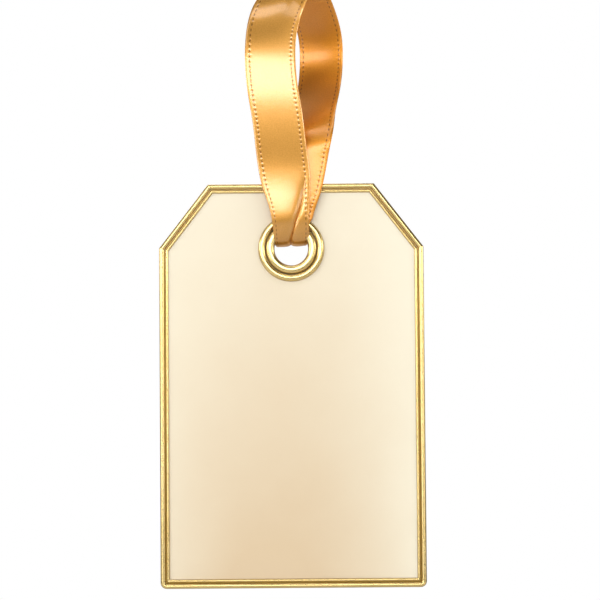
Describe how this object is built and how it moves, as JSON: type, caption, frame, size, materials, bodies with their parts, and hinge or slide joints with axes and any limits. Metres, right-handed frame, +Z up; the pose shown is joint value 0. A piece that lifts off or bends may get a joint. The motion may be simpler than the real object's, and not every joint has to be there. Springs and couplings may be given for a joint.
{
  "type": "gift tag",
  "caption": "Upright gift tag with cut top corners: laminated pearl board in a beaded brass rim, hung by a looped satin ribbon through a brass eyelet.",
  "frame": {"origin": "inside top of the ribbon loop, where a hook or peg carries the tag", "axes": "+Z up along the hanging tag, -Y out of its front face, +X to the right seen from the front"},
  "size_m": [0.0524, 0.0136, 0.1201],
  "materials": {
    "greyboard": "matt grey board",
    "adhesive": "clear mounting film",
    "pearl_paper": "champagne pearl, satin",
    "brass": "polished gold",
    "satin": "gold satin weave"
  },
  "bodies": {
    "ribbon_loop": {"ribbon_loop": "satin"},
    "ribbon_knot": {"ribbon_neck": "satin", "ribbon_knot": "satin", "ribbon_tail_left": "satin", "ribbon_tail_right": "satin"},
    "tag": {"core_board": "greyboard", "front_adhesive_film": "adhesive", "back_adhesive_film": "adhesive", "front_sheet": "pearl_paper", "back_sheet": "pearl_paper", "rim": "brass", "eyelet_washer": "brass", "eyelet_barrel": "brass"}
  },
  "joints": [
    {"name": "tag_tilt", "type": "hinge", "parent": "ribbon_loop", "child": "ribbon_knot", "pos_m": [0, -0.00275, -0.0435], "axis": [-1, 0, 0], "range_deg": [0, 150]},
    {"name": "tag_swing", "type": "hinge", "parent": "ribbon_knot", "child": "tag", "pos_m": [0, 0, -0.052], "axis": [0, 1, 0], "range_deg": [-60, 60]}
  ]
}
